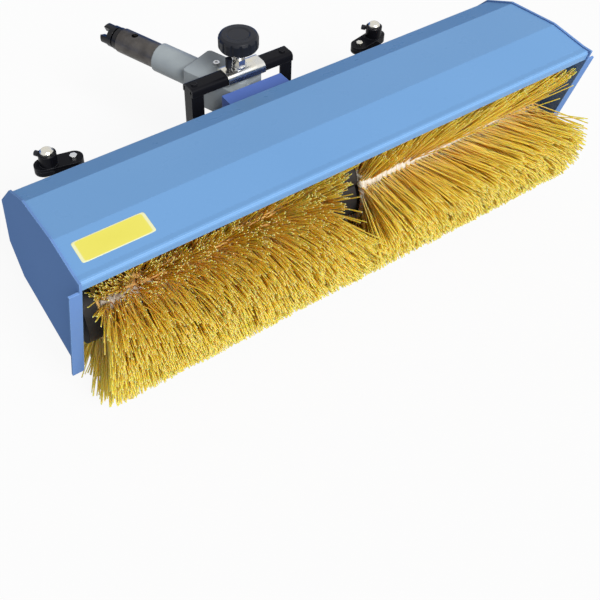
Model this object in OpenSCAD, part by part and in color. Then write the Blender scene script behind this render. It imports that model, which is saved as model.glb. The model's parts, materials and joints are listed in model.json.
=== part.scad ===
// Power brush sweeper: a folded hood over a roller brush in two halves that a gear case in the
// middle drives, with a swivelling coupling head behind it and two castors that set its height.
// Lengths are in millimetres. +X runs along the brush, +Y points back to the tractor, +Z is up.
// Places are counted from the brush axis, and placed() moves them to the origin on the floor.

/* [Brush] */
// Diameter of the brush over its bristle tips
brush_d = 345; // [330:1:355]
// Diameter of the sleeve that holds the bristles
backing_d = 130; // [124:1:136]
// Gap between the two brush halves
brush_gap = 80; // [76:1:100]
// Room between a brush half and its end plate
end_room = 16; // [15:1:30]
// Rows of bristles round the brush
bristle_rows = 16; // [8:4:20]
// Bristles in a row of one half
row_bristles = 15; // [8:1:18]
// Thickness of a bristle tuft at its root
bristle_d = 5; // [3:0.5:7]
// Diameter of the brush shaft
shaft_d = 25; // [22:1:28]

/* [Hood] */
// Length of the hood between its end plates
hood_len = 1000; // [860:10:1200]
// Thickness of the hood sheet
hood_t = 2.5; // [1.5:0.5:4]
// Inside radius of the folds
bend_r = 3; // [1:0.5:5]
// How far the lower edge of the lip stands in front of the brush axis
lip_out = 115; // [100:1:130]
// Height of the lower edge of the lip over the brush axis
lip_up = 160; // [155:1:180]
// Height of the lip
lip_drop = 19; // [10:1:30]
// Depth of the flat strip behind the lip
lip_depth = 16; // [12:1:25]
// Width of the panel that carries the front of the hood
front_panel = 74; // [60:1:90]
// Width of the top panel
top_panel = 106; // [90:1:120]
// Width of the panel behind the top
rear_panel = 67; // [55:1:80]
// Width of the sloping back panel
back_panel = 90; // [80:1:105]
// Width of the steep skirt at the back
skirt_panel = 110; // [95:1:125]
// Thickness of the end plates
plate_t = 4; // [3:0.5:6]
// How far the end plates stand proud of the sheet
plate_proud = 3; // [2:0.5:5]
// Width of the flange along the front of an end plate
flange_w = 20; // [12:1:30]

/* [Drive] */
// Distance from the brush axis up to the drive axis
worm_centre = 50; // [49:0.5:52]
// Diameter of the worm shaft and of the input shaft
drive_d = 20; // [18:1:22]
// Width of the gear case
case_w = 72; // [68:1:74]
// Outside diameter of the neck tube
neck_d = 44; // [42:1:48]

/* [Rear frame] */
// Distance from the lower back edge of the hood to the swivel axis
kingpin_reach = 56; // [49:1:77]
// Width of the frame
frame_w = 224; // [216:1:260]
// Thickness of the frame's steel
frame_t = 4; // [3:0.5:5]
// Width of one frame leg
leg_w = 26; // [22:1:42]
// Height of the top bar over the drive axis
bar_up = 61; // [58:1:75]
// Depth of the top bar from front to back
bar_depth = 35; // [32:1:44]
// Height of the top bar
bar_h = 17; // [15:1:26]
// Width of the box that carries the frame
box_w = 130; // [110:1:136]
// Height of that box over the brush axis
box_up = 98; // [90:1:102]
// Wall of that box
box_t = 4; // [3:0.5:6]

/* [Coupling head] */
// Angle to which the head is turned
swivel_rest = 20; // [0:1:20]
// Width of the grey housing
head_w = 84; // [76:1:88]
// Diameter of the round part of the housing
head_d = 60; // [56:1:68]
// Where the housing's box ends, from the swivel axis
head_box = 107; // [95:1:120]
// Where the round part of the housing ends, from the swivel axis
head_len = 200; // [190:1:220]
// Outside diameter of the coupling tube
tube_d = 52; // [48:1:54]
// Inside diameter of the coupling tube
tube_bore = 40; // [36:1:42]
// Length of the coupling tube outside the housing
tube_len = 102; // [90:1:130]
// Diameter of the locking hole in the coupling tube
lock_d = 14; // [8:1:16]
// Diameter of the drive dog
dog_d = 46; // [38:1:50]
// Number of jaws on the drive dog
dog_jaws = 4; // [2:2:4]
// Diameter of the clamp knob
knob_d = 76; // [60:1:90]
// Number of hollows in the knob's rim
knob_hollows = 14; // [8:1:16]

/* [Castors] */
// Distance of a castor from the middle of the sweeper
castor_out = 377; // [340:1:420]
// Distance of a castor behind the brush axis
castor_back = 326; // [316:1:350]
// Diameter of a castor stem
stem_d = 25; // [20:1:28]
// Diameter of a castor wheel
wheel_d = 100; // [80:1:100]
// Width of a castor wheel
wheel_w = 32; // [26:1:36]
// Distance of the wheel behind its stem
trail = 35; // [25:1:40]

/* [Hidden] */
$fn = 64;

// Colours
blue = [0.36, 0.53, 0.80];
black = [0.07, 0.07, 0.08];
zinc = [0.74, 0.75, 0.76];
cast_grey = [0.55, 0.57, 0.60];
dark_steel = [0.25, 0.24, 0.23];
bright_steel = [0.62, 0.63, 0.65];
bronze = [0.72, 0.55, 0.22];
bristle_yellow = [0.93, 0.68, 0.16];

// Clearances and the overrun of every cut
run_fit = 0.05;
seat_gap = 0.3;
overrun = 1;

// Heights and places that follow from the driving sizes
floor_cut = 0.5;
brush_r = brush_d / 2;
axis_z = brush_r - floor_cut;
drive_z = axis_z + worm_centre;
half_in = brush_gap / 2;
half_out = hood_len / 2 - end_room;
half_len = half_out - half_in;

// Drive dog
dog_gap = 2;
dog_collar = 10;
dog_groove = 4;
dog_body = 12;
dog_jaw = 16;
tube_end = head_len + tube_len;
dog_start = tube_end + dog_gap;
dog_end = dog_start + dog_collar + dog_groove + dog_body + dog_jaw;

// Moves a piece from the brush axis to the origin
module placed() translate([0, -origin_y, 0]) children();

// Turns a piece drawn along +Z to lie along +X, on the brush axis
module on_brush(x = 0) translate([x, 0, axis_z]) rotate([0, 90, 0]) children();

// Turns a piece drawn along +Z to lie along +Y, on the drive axis
module on_drive(y = 0) translate([0, y, drive_z]) rotate([-90, 0, 0]) children();

// Carries an outline in the Y-Z plane along +X
module profile_x(x, length) translate([x, 0, 0]) rotate([90, 0, 90])
    linear_extrude(length) children();

// Places a piece of the coupling head, whose own +Y runs along the coupling
module on_head() translate([0, swivel_y, drive_z]) rotate([0, 0, swivel_rest]) children();

// Both hands of a piece that the sweeper has left and right
module both_sides() {
    children();
    mirror([1, 0, 0]) children();
}

// A rectangle with round corners, centred
module rounded(size, r) {
    square([size[0] - 2 * r, size[1]], center = true);
    square([size[0], size[1] - 2 * r], center = true);
    for (x = [-1, 1], y = [-1, 1])
        translate([x * (size[0] / 2 - r), y * (size[1] / 2 - r)]) circle(r);
}

// A ring
module ring(d_out, d_in, h) difference() {
    cylinder(d = d_out, h = h);
    translate([0, 0, -overrun]) cylinder(d = d_in, h = h + 2 * overrun);
}

// A hexagon bolt, its head on the plane z = 0 and its shank below
module hex_bolt(d, shank) {
    head_share = 0.65;
    across_share = 1.85;
    cylinder(d = d * across_share, h = d * head_share, $fn = 6);
    translate([0, 0, -shank]) cylinder(d = d, h = shank + d * head_share / 2);
}

// Hood: fold lines found by walking from the lower edge of the lip to the skirt
fold_slopes = [102, 0, 7, -5, -24, -48, -82];
fold_runs = [lip_drop, lip_depth, front_panel, top_panel, rear_panel, back_panel, skirt_panel];
fold_steps = 3;
function walk(p, i = 0) = i == len(fold_runs) ? [p]
    : concat([p], walk(p + fold_runs[i] * [cos(fold_slopes[i]), sin(fold_slopes[i])], i + 1));
folds = walk([-lip_out, axis_z + lip_up]);
last_fold = len(folds) - 1;

// The same line moved into the hood by d
function slope_before(i) = fold_slopes[max(i - 1, 0)];
function slope_after(i) = fold_slopes[min(i, last_fold - 1)];
function moved(i, d) = let (mean = (slope_before(i) + slope_after(i)) / 2,
                            half = (slope_after(i) - slope_before(i)) / 2)
    folds[i] + d / cos(half) * [sin(mean), -cos(mean)];

// A fold as an arc: its radius is negative where the sheet folds the other way
function fold_radius(i, d) =
    (slope_after(i) < slope_before(i) ? bend_r + hood_t : -bend_r) - d;
function fold_arc(i, d) = let (a0 = slope_before(i), a1 = slope_after(i), r = fold_radius(i, d),
                               start = moved(i, d) - r * tan((a0 - a1) / 2) * [cos(a0), sin(a0)],
                               mid = start + r * [sin(a0), -cos(a0)])
    [for (k = [0 : fold_steps]) let (a = a0 + (a1 - a0) * k / fold_steps)
        mid + r * [-sin(a), cos(a)]];
function fold_line(d) = concat([moved(0, d)],
    [for (i = [1 : last_fold - 1]) each fold_arc(i, d)], [moved(last_fold, d)]);
function reversed(list) = [for (i = [len(list) - 1 : -1 : 0]) list[i]];

// A place on the skirt: how far down from its upper fold, and how far out from its face
skirt_slope = fold_slopes[last_fold - 1];
function on_skirt(down, out) = folds[last_fold - 1]
    + down * [cos(skirt_slope), sin(skirt_slope)] + out * [-sin(skirt_slope), cos(skirt_slope)];

// The swivel stands behind the skirt, and the origin on the floor, below the middle of the box
// round the whole sweeper
swivel_y = folds[last_fold][0] + kingpin_reach;
back_y = swivel_y + dog_end * cos(swivel_rest) + dog_d / 2 * sin(swivel_rest);
origin_y = (back_y - brush_r) / 2;

// Everything under the outer face of the hood
module hood_inside() polygon(concat(fold_line(0),
    [[folds[last_fold][0], 0], [-lip_out, 0]]));

// Box behind the hood that carries the frame
box_drop = 22;
box_room = 43;
box_back = swivel_y - box_room;
box_top = axis_z + box_up;
box_low = axis_z - box_drop;

module box_space(wall, back) translate([-box_w / 2 + wall, 0, box_low + wall])
    cube([box_w - 2 * wall, back, box_top - box_low - 2 * wall]);

module hood_shell() color(blue) placed() difference() {
    profile_x(-hood_len / 2, hood_len) polygon(concat(fold_line(0), reversed(fold_line(hood_t))));
    box_space(2 * box_t, box_back + overrun);
    both_sides() arm_bolts_at() translate([0, 0, -hood_t - arm_flange_t - overrun])
        cylinder(d = arm_bolt + 2 * run_fit, h = hood_t + arm_flange_t + overrun);
}

// End plates: the hood's outline standing proud, with a lower edge of its own
tip_back = 63;
tip_drop = 92;
toe_run = 40;
toe_drop = 12;
heel_in = 37;
heel_up = 14;
plate_tip = [-lip_out + tip_back, axis_z - tip_drop];
plate_toe = [plate_tip[0] + toe_run, plate_tip[1] - toe_drop];
plate_heel = [folds[last_fold][0] - heel_in, plate_tip[1] + heel_up];
plate_top = moved(0, -plate_proud);
flange_lean = atan2(plate_tip[0] - plate_top[0], plate_top[1] - plate_tip[1]);
flange_run = norm(plate_tip - plate_top);

module end_plate() {
    profile_x(hood_len / 2, plate_t) polygon(concat(
        [for (i = [0 : last_fold]) moved(i, -plate_proud)], [plate_heel, plate_toe, plate_tip]));
    translate([hood_len / 2, plate_tip[0], plate_tip[1]]) rotate([flange_lean, 0, 0])
        cube([flange_w, plate_t, flange_run]);
}
module left_end_plate() color(blue) placed() mirror([1, 0, 0]) end_plate();
module right_end_plate() color(blue) placed() end_plate();

// Neck: the tube that carries the gear case and guides the worm shaft
case_back = 54;
neck_bore = 32;
neck_out = 2;
neck_end = box_back + neck_out;
neck_flange = 68;
neck_flange_t = 8;
neck_bolt = 6;
neck_circle = 56;

module mount_box() color(blue) placed() difference() {
    box_space(0, box_back);
    box_space(box_t, box_back - box_t);
    profile_x(-box_w, 2 * box_w) hood_inside();
    on_drive(box_back - box_t - overrun) cylinder(d = neck_d + 2 * run_fit, h = box_t + 2 * overrun);
    neck_bolts_at() translate([0, 0, -overrun])
        cylinder(d = neck_bolt + 2 * run_fit, h = box_t + 2 * overrun);
    frame_bolts_at() translate([0, 0, -overrun])
        cylinder(d = frame_bolt + 2 * run_fit, h = box_t + 2 * overrun);
}

module neck_bolts_at() on_drive(box_back - box_t) for (a = [45 : 90 : 315])
    rotate(a) translate([neck_circle / 2, 0, 0]) children();

module neck_tube() color(dark_steel) placed() difference() {
    union() {
        on_drive(case_back) cylinder(d = neck_d, h = neck_end - case_back);
        on_drive(case_back) cylinder(d = case_bulge, h = neck_flange_t);
        on_drive(box_back - box_t - neck_flange_t) cylinder(d = neck_flange, h = neck_flange_t);
    }
    on_drive(case_back - overrun) cylinder(d = neck_bore, h = neck_end - case_back + 2 * overrun);
    neck_bolts_at() translate([0, 0, -neck_flange_t - overrun])
        cylinder(d = neck_bolt + 2 * run_fit, h = neck_flange_t + 2 * overrun);
}
module neck_bolts() color(zinc) placed() neck_bolts_at() translate([0, 0, -neck_flange_t])
    rotate([180, 0, 0]) hex_bolt(neck_bolt, neck_flange_t + box_t);

// Worm gear: module, teeth and starts give the ratio of the drive
gear_module = 3;
wheel_teeth = 24;
worm_starts = 4;
wheel_r = gear_module * wheel_teeth / 2;
worm_r = worm_centre - wheel_r;
worm_lead = PI * gear_module * worm_starts;
top_share = 0.9;
foot_share = 1.2;
tooth_top = top_share * gear_module;
tooth_foot = foot_share * gear_module;
tooth_share = 0.36;
flank_angle = 20;
flank = tan(flank_angle);
worm_len = 36;
worm_slices = 24;
gear_w = 22;
gear_slices = 4;

// Half angle of a tooth at a height over the pitch circle, for a pitch of the given angle
function tooth_half(pitch_angle, rise) =
    pitch_angle * (tooth_share / 2 - rise * flank / (PI * gear_module));
function toothed(r, count) = let (pitch = 360 / count)
    [for (i = [0 : count - 1], side = [-1, 1],
          rise = side < 0 ? [-tooth_foot, tooth_top] : [tooth_top, -tooth_foot])
        let (a = i * pitch + side * tooth_half(pitch, rise)) (r + rise) * [cos(a), sin(a)]];

// Gear case, split along the middle of the brush
case_r = 58;
case_bulge = 52;
bulge_front = 28;
bearing_d = 52;
bearing_w = 12;
bearing_wall = 8;
bearing_in = gear_w / 2 + bearing_wall;
seal_d = 40;
seal_w = case_w / 2 - bearing_in - bearing_w;
worm_bearing_d = neck_bore;
worm_room = 6;
worm_bearing_at = worm_len / 2 + worm_room;
gear_room = 2;
case_bolt = 6;
case_bolt_shares = [[-0.62, -0.62], [0.62, -0.62], [-0.87, 0.2], [0.87, 0.2]];

module case_outline() {
    translate([0, axis_z]) circle(case_r);
    translate([-bulge_front, drive_z]) circle(d = case_bulge);
    translate([-bulge_front, drive_z - case_bulge / 2]) square([bulge_front + case_back, case_bulge]);
}
module case_bolts_at() for (share = case_bolt_shares)
    translate([0, share[0] * (case_r - case_bolt), axis_z + share[1] * (case_r - case_bolt)])
        rotate([0, 90, 0]) children();

module gear_case_half() difference() {
    profile_x(0, case_w / 2) case_outline();
    on_brush(-overrun)
        cylinder(r = wheel_r + tooth_top + gear_room, h = gear_w / 2 + gear_room + overrun);
    on_brush(-overrun) cylinder(d = shaft_d + 2 * gear_room, h = case_w);
    on_brush(bearing_in) cylinder(d = bearing_d + 2 * run_fit, h = bearing_w);
    on_brush(bearing_in + bearing_w - overrun)
        cylinder(d = seal_d + 2 * run_fit, h = seal_w + 2 * overrun);
    on_drive(-worm_bearing_at) cylinder(r = worm_r + tooth_top + gear_room, h = 2 * worm_bearing_at);
    on_drive(-worm_bearing_at - bearing_w)
        cylinder(d = worm_bearing_d + 2 * run_fit, h = case_back + worm_bearing_at + bearing_w + overrun);
    case_bolts_at() translate([0, 0, -overrun]) cylinder(d = case_bolt + 2 * run_fit, h = case_w);
}
module gear_case_left() color(dark_steel) placed() mirror([1, 0, 0]) gear_case_half();
module gear_case_right() color(dark_steel) placed() gear_case_half();

case_bolt_sink = 3;
module case_bolts() color(zinc) placed() case_bolts_at() translate([0, 0, case_bolt_sink - case_w / 2])
    cylinder(d = case_bolt, h = case_w - 2 * case_bolt_sink);

module brush_bearings() color(bright_steel) placed() both_sides()
    on_brush(bearing_in) ring(bearing_d, shaft_d + 2 * run_fit, bearing_w);
module shaft_seals() color(black) placed() both_sides()
    on_brush(bearing_in + bearing_w) ring(seal_d, shaft_d + 2 * run_fit, seal_w);
module worm_bearings() color(bright_steel) placed() {
    for (y = [-worm_bearing_at - bearing_w, worm_bearing_at, neck_end - bearing_w])
        on_drive(y) ring(worm_bearing_d - (y > case_back ? 2 * run_fit : 0),
                         drive_d + 2 * run_fit, bearing_w);
}

// Brush: shaft, worm wheel, drums and bristles turn together
washer_t = 3;
washer_d = 44;
end_bolt = 12;
end_bolt_reach = 30;
backing_t = 3;
drum_wall = 4;
drum_disc = 6;
hub_d = 44;
hub_len = 34;
drum_d = backing_d - 2 * backing_t - 2 * run_fit;
root_sink = 1.5;
tip_share = 0.45;
row_margin = 6;
tip_lean = 4;
stagger_share = 0.5;
bristle_pitch = (half_len - 2 * row_margin) / (row_bristles + stagger_share);

module brush_shaft() color(bright_steel) placed() difference() {
    on_brush(-half_out) cylinder(d = shaft_d, h = 2 * half_out);
    both_sides() on_brush(half_out - end_bolt_reach)
        cylinder(d = end_bolt + 2 * run_fit, h = end_bolt_reach + overrun);
}

module worm_wheel() color(bronze) placed() difference() {
    on_brush(-gear_w / 2) rotate(wheel_phase)
        linear_extrude(gear_w, twist = -wheel_twist, slices = gear_slices, $fn = worm_starts)
            polygon(toothed(wheel_r, wheel_teeth));
    on_brush(-gear_w) cylinder(d = shaft_d + 2 * run_fit, h = 2 * gear_w);
}
// The wheel's teeth follow the worm's lead, and a gap between two of them stands straight up
wheel_twist = gear_w * worm_lead / (2 * PI * worm_r) / wheel_r * 180 / PI;
wheel_phase = 180 / wheel_teeth - wheel_twist / 2;

module drum() difference() {
    union() {
        on_brush(half_in) difference() {
            cylinder(d = drum_d, h = half_len);
            translate([0, 0, drum_disc])
                cylinder(d = drum_d - 2 * drum_wall, h = half_len - 2 * drum_disc);
        }
        for (x = [half_in, half_out - hub_len]) on_brush(x) cylinder(d = hub_d, h = hub_len);
    }
    on_brush(half_in - overrun) cylinder(d = shaft_d + 2 * run_fit, h = half_len + 2 * overrun);
}
module left_drum() color(black) placed() mirror([1, 0, 0]) drum();
module right_drum() color(black) placed() drum();

// One bristle tuft with three sides: its root at z = 0, its tip moved sideways by the lean
module bristle(length, lean) {
    corners = [for (a = [0 : 120 : 240]) [cos(a), sin(a)] * bristle_d / 2];
    points = concat([for (c = corners) [c[0], c[1], 0]],
                    [for (c = corners) [c[0] * tip_share + lean, c[1] * tip_share, length]]);
    polyhedron(points, [[0, 1, 2], [5, 4, 3], [0, 3, 4], [0, 4, 1],
                        [1, 4, 5], [1, 5, 2], [2, 5, 3], [2, 3, 0]]);
}
// The tips lean out towards both ends of a half
function lean_at(x) = let (share = 2 * (x - half_in) / half_len - 1) tip_lean * pow(share, 3);

module bristles() difference() {
    union() {
        on_brush(half_in) ring(backing_d, backing_d - 2 * backing_t, half_len);
        for (row = [0 : bristle_rows - 1], i = [0 : row_bristles - 1]) {
            x = half_in + row_margin + bristle_pitch * (i + stagger_share * (1 + row % 2));
            translate([x, 0, axis_z]) rotate([row * 360 / bristle_rows, 0, 0])
                translate([0, 0, backing_d / 2 - root_sink])
                    bristle(brush_r - backing_d / 2 + root_sink, lean_at(x));
        }
    }
    translate([0, -brush_r, -brush_r]) cube([hood_len, brush_d, brush_r]);
}
module left_bristles() color(bristle_yellow) placed() mirror([1, 0, 0]) bristles();
module right_bristles() color(bristle_yellow) placed() bristles();

module drum_washers() color(zinc) placed() both_sides()
    on_brush(half_out) ring(washer_d, end_bolt + 2 * run_fit, washer_t);
module drum_bolts() color(zinc) placed() both_sides()
    on_brush(half_out + washer_t) hex_bolt(end_bolt, end_bolt_reach + washer_t - overrun);

// Claws: two jaws on each shaft let the drive turn through the swivel
claw_d = 36;
claw_hole = 24;
claw_face = 16;
claw_disc = 10;
claw_tip = 6;
claw_angle = 56;

// A wedge between two jaws, of the given angle and centred on +X, tall enough to cut them free
module wedge(angle, r, h) linear_extrude(h)
    polygon(concat([[0, 0]], [for (k = [-1 : 1]) 2 * r * [cos(k * angle / 2), sin(k * angle / 2)]]));

module claw(turn) difference() {
    translate([0, 0, -claw_tip]) cylinder(d = claw_d, h = claw_tip + claw_face + claw_disc);
    translate([0, 0, -claw_tip - overrun]) cylinder(d = claw_hole, h = claw_tip + claw_face + overrun);
    cylinder(d = drive_d + 2 * run_fit, h = claw_face + claw_disc + overrun);
    for (a = [90, 270]) rotate(a + turn) translate([0, 0, -claw_tip - overrun])
        wedge(180 - claw_angle, claw_d / 2, claw_tip + claw_face + overrun);
}

module worm_shaft() color(dark_steel) placed() {
    on_drive(-worm_bearing_at - bearing_w)
        cylinder(d = drive_d, h = swivel_y - claw_face + worm_bearing_at + bearing_w);
    on_drive(-worm_len / 2) rotate(worm_phase)
        linear_extrude(worm_len, twist = -360 * worm_len / worm_lead, slices = worm_slices, $fn = worm_starts)
            polygon(toothed(worm_r, worm_starts));
}
// A thread of the worm stands straight down over the gap in the wheel
worm_phase = 90 - 180 * worm_len / worm_lead;

module front_claw() color(dark_steel) placed() on_drive(swivel_y) rotate([180, 0, 0]) claw(0);
module rear_claw() color(dark_steel) placed() on_head() rotate([-90, 0, 0]) claw(90);

// Frame round the swivel: a top bar, two legs and a lower bar on the mount box
bar_top = drive_z + bar_up;
bar_low = bar_top - bar_h;
bar_front = swivel_y - bar_depth / 2;
bar_round = 8;
lower_t = 8;
lower_drop = 36;
lower_top = drive_z - lower_drop;
lower_low = lower_top - lower_t;
lower_back = bar_front + bar_depth;
lower_flange = 6;
frame_bolt = 8;
frame_bolt_x = 45;
screw_d = 8;
screw_head = 12;
screw_head_h = 3;
screw_in = 14;
screw_x = frame_w / 2 - screw_in;

module frame_bolts_at() for (x = [-1, 1])
    translate([x * frame_bolt_x, box_back, (lower_low + box_low) / 2]) rotate([90, 0, 0]) children();

module frame_top_bar() color(black) placed() difference() {
    profile_x(-frame_w / 2, frame_w) difference() {
        translate([swivel_y, bar_top - bar_h]) rounded([bar_depth, 2 * bar_h], bar_round);
        translate([swivel_y, bar_top - bar_h - frame_t])
            rounded([bar_depth - 2 * frame_t, 2 * bar_h], bar_round - frame_t);
        translate([bar_front - overrun, bar_low - 2 * bar_h]) square([bar_depth + 2 * overrun, 2 * bar_h]);
    }
    for (x = [-screw_x, 0, screw_x]) translate([x, swivel_y, bar_low])
        cylinder(d = (x == 0 ? spindle_d : screw_d) + 2 * run_fit, h = bar_h + overrun);
    translate([lock_x, swivel_y, bar_low]) cylinder(d = lock_pin + 2 * run_fit, h = bar_h + overrun);
}

leg_top = bar_top - frame_t;
module frame_leg() difference() {
    union() {
        translate([frame_w / 2 - leg_w, bar_front + frame_t, lower_top])
            cube([leg_w, frame_t, leg_top - lower_top - bar_round]);
        translate([frame_w / 2 - frame_t, bar_front + frame_t, lower_top])
            cube([frame_t, bar_depth - 2 * frame_t, leg_top - lower_top - bar_round]);
        translate([frame_w / 2 - leg_w, bar_front + bar_round, lower_top])
            cube([leg_w, bar_depth - 2 * bar_round, frame_t]);
        translate([frame_w / 2 - leg_w, bar_front + bar_round, leg_top - frame_t])
            cube([leg_w, bar_depth - 2 * bar_round, frame_t]);
        translate([frame_w / 2 - frame_t, bar_front + bar_round, leg_top - 2 * bar_round])
            cube([frame_t, bar_depth - 2 * bar_round, 2 * bar_round]);
    }
    translate([screw_x, swivel_y, lower_top - overrun])
        cylinder(d = screw_d + 2 * run_fit, h = leg_top - lower_top + 2 * overrun);
}
module frame_left_leg() color(black) placed() mirror([1, 0, 0]) frame_leg();
module frame_right_leg() color(black) placed() frame_leg();

module frame_lower_bar() color(black) placed() difference() {
    union() {
        translate([-frame_w / 2, box_back, lower_low]) cube([frame_w, lower_back - box_back, lower_t]);
        translate([-box_w / 2, box_back, box_low]) cube([box_w, lower_flange, lower_top - box_low]);
    }
    translate([0, swivel_y, lower_low - overrun])
        cylinder(d = pivot_d + 2 * run_fit, h = lower_t + 2 * overrun);
    for (x = [-screw_x, screw_x]) translate([x, swivel_y, lower_low - overrun])
        cylinder(d = screw_d + 2 * run_fit, h = lower_t + 2 * overrun);
    frame_bolts_at() translate([0, 0, -lower_flange - overrun])
        cylinder(d = frame_bolt + 2 * run_fit, h = lower_flange + 2 * overrun);
}

// Screws on the top bar, and the screws that hold the legs to the lower bar
module frame_screws() color(black) placed() both_sides() {
    translate([screw_x, swivel_y, bar_top - 2 * frame_t]) cylinder(d = screw_d, h = 2 * frame_t);
    translate([screw_x, swivel_y, bar_top]) cylinder(d = screw_head, h = screw_head_h);
    translate([screw_x, swivel_y, lower_low]) cylinder(d = screw_d, h = lower_t + frame_t);
    translate([screw_x, swivel_y, lower_top + frame_t]) cylinder(d = screw_head, h = screw_head_h);
}
module frame_bolts() color(zinc) placed() frame_bolts_at() translate([0, 0, -lower_flange])
    rotate([180, 0, 0]) hex_bolt(frame_bolt, lower_flange + box_t);

// Clamp: a zinc saddle on the bar, the knob's spindle and the locking screw beside it
saddle_w = 82;
saddle_shift = 6;
saddle_t = 4;
saddle_drop = 20;
saddle_back = 12;
spindle_d = 16;
boss_d = 32;
boss_top = bar_low - seat_gap;
spindle_up = 30;
spindle_low = drive_z + spindle_up;
clamp_washer_d = 30;
clamp_washer_t = 4;
nut_across = 27;
nut_h = 14;
knob_h = 33;
knob_up = 42;
knob_low = bar_top + knob_up;
knob_hollow = 9;
hollow_share = 0.3;
knob_shares = [[0, 0], [0.36, 0], [0.47, 0.12], [0.5, 0.24], [0.5, 0.78], [0.47, 0.92], [0.41, 1], [0.3, 1]];
knob_dish = 2;
dish_share = 0.26;
lock_x = -22;
lock_pin = 6;
saddle_top = bar_top + saddle_t;
nut_low = saddle_top + clamp_washer_t;

module clamp_saddle() color(zinc) placed() difference() {
    profile_x(saddle_shift - saddle_w / 2, saddle_w) difference() {
        translate([swivel_y, saddle_top - bar_h])
            rounded([bar_depth + 2 * saddle_t, 2 * bar_h], bar_round + saddle_t);
        translate([swivel_y, bar_top - bar_h]) rounded([bar_depth, 2 * bar_h], bar_round);
        translate([swivel_y, saddle_top - saddle_back - 2 * bar_h]) square([bar_depth, 2 * bar_h]);
        translate([bar_front - bar_depth, saddle_top - saddle_drop - 2 * bar_h])
            square([2 * bar_depth, 2 * bar_h]);
    }
    for (p = [[0, spindle_d], [lock_x, lock_pin]]) translate([p[0], swivel_y, bar_top - overrun])
        cylinder(d = p[1] + 2 * run_fit, h = saddle_t + 2 * overrun);
}

module clamp_washer() color(zinc) placed() translate([0, swivel_y, saddle_top])
    ring(clamp_washer_d, spindle_d + 2 * run_fit, clamp_washer_t);
module clamp_spindle() color(zinc) placed() translate([0, swivel_y, spindle_low])
    cylinder(d = spindle_d, h = knob_low + knob_h / 2 - spindle_low);
module clamp_nut() color(zinc) placed() translate([0, swivel_y, nut_low]) difference() {
    cylinder(d = nut_across, h = nut_h, $fn = 6);
    translate([0, 0, -overrun]) cylinder(d = spindle_d + 2 * run_fit, h = nut_h + 2 * overrun);
}

module clamp_knob() color(black) placed() translate([0, swivel_y, knob_low]) difference() {
    rotate_extrude() polygon(concat(
        [for (share = knob_shares) [knob_d * share[0], knob_h * share[1]]],
        [[knob_d * dish_share, knob_h - knob_dish], [0, knob_h - knob_dish]]));
    for (i = [0 : knob_hollows - 1]) rotate((i + 0.5) * 360 / knob_hollows)
        translate([knob_d / 2 + knob_hollow * hollow_share, 0, -overrun])
            cylinder(d = knob_hollow, h = knob_h + 2 * overrun);
    translate([0, 0, -overrun]) cylinder(d = spindle_d + 2 * run_fit, h = knob_h / 2 + overrun);
}

lock_wing = 13;
lock_wing_h = 19;
lock_neck = 9;
lock_neck_h = 5;
module lock_screw() color(black) placed() translate([lock_x, swivel_y, drive_z + head_h / 2 + seat_gap]) {
    lock_reach = saddle_top - drive_z - head_h / 2;
    cylinder(d = lock_pin, h = lock_reach + lock_neck_h);
    translate([0, 0, lock_reach]) cylinder(d = lock_neck, h = lock_neck_h + lock_wing_h / 2);
    translate([0, 0, lock_reach + lock_neck_h]) cylinder(d = lock_wing, h = lock_wing_h);
}

// Lower pivot of the head
pivot_d = 20;
pivot_reach = 8;
pivot_collar = 34;
pivot_collar_t = 6;
module lower_pivot() color(zinc) placed() translate([0, swivel_y, lower_low]) {
    cylinder(d = pivot_d, h = lower_t + pivot_reach);
    translate([0, 0, -pivot_collar_t]) cylinder(d = pivot_collar, h = pivot_collar_t);
}

// Swivelling head: a cast housing with the coupling tube in its end
head_h = 68;
head_front = 25;
head_round = 8;
claw_room = 56;
claw_room_len = 40;
tunnel_d = 28;
tube_seat = 26;
tube_step = 2;
spigot_d = tube_d - 2 * tube_step;
plug_x = 11;
plug_y = 64;
plug_d = 13;
plug_h = 6;
plug_socket = 6;

module swivel_housing() color(cast_grey) placed() on_head() difference() {
    union() {
        translate([0, (head_box - head_front) / 2, -head_h / 2])
            linear_extrude(head_h) rounded([head_w, head_box + head_front], head_round);
        rotate([-90, 0, 0]) cylinder(d = head_d, h = head_len);
        cylinder(d = boss_d, h = boss_top - drive_z);
        translate([0, 0, lower_top + seat_gap - drive_z])
            cylinder(d = boss_d, h = drive_z - lower_top - seat_gap);
    }
    translate([0, -head_front - overrun, 0]) rotate([-90, 0, 0])
        cylinder(d = claw_room, h = head_front + claw_room_len + overrun);
    rotate([-90, 0, 0]) cylinder(d = tunnel_d, h = head_len + overrun);
    translate([0, head_len - tube_seat, 0]) rotate([-90, 0, 0])
        cylinder(d = spigot_d + 2 * run_fit, h = tube_seat + overrun);
    cylinder(d = spindle_d + 2 * run_fit, h = bar_up);
    translate([0, 0, lower_low - drive_z])
        cylinder(d = pivot_d + 2 * run_fit, h = drive_z - lower_low);
    translate([plug_x, plug_y, head_h / 2 - plug_h])
        cylinder(d = plug_d / 2 + 2 * run_fit, h = plug_h + overrun);
}
module housing_plug() color(bright_steel) placed() on_head() translate([plug_x, plug_y, head_h / 2])
    difference() {
        union() {
            cylinder(d = plug_d, h = plug_h);
            translate([0, 0, -plug_h]) cylinder(d = plug_d / 2, h = plug_h);
        }
        translate([0, 0, plug_h / 2]) cylinder(d = plug_socket, h = plug_h, $fn = 6);
    }

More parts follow.
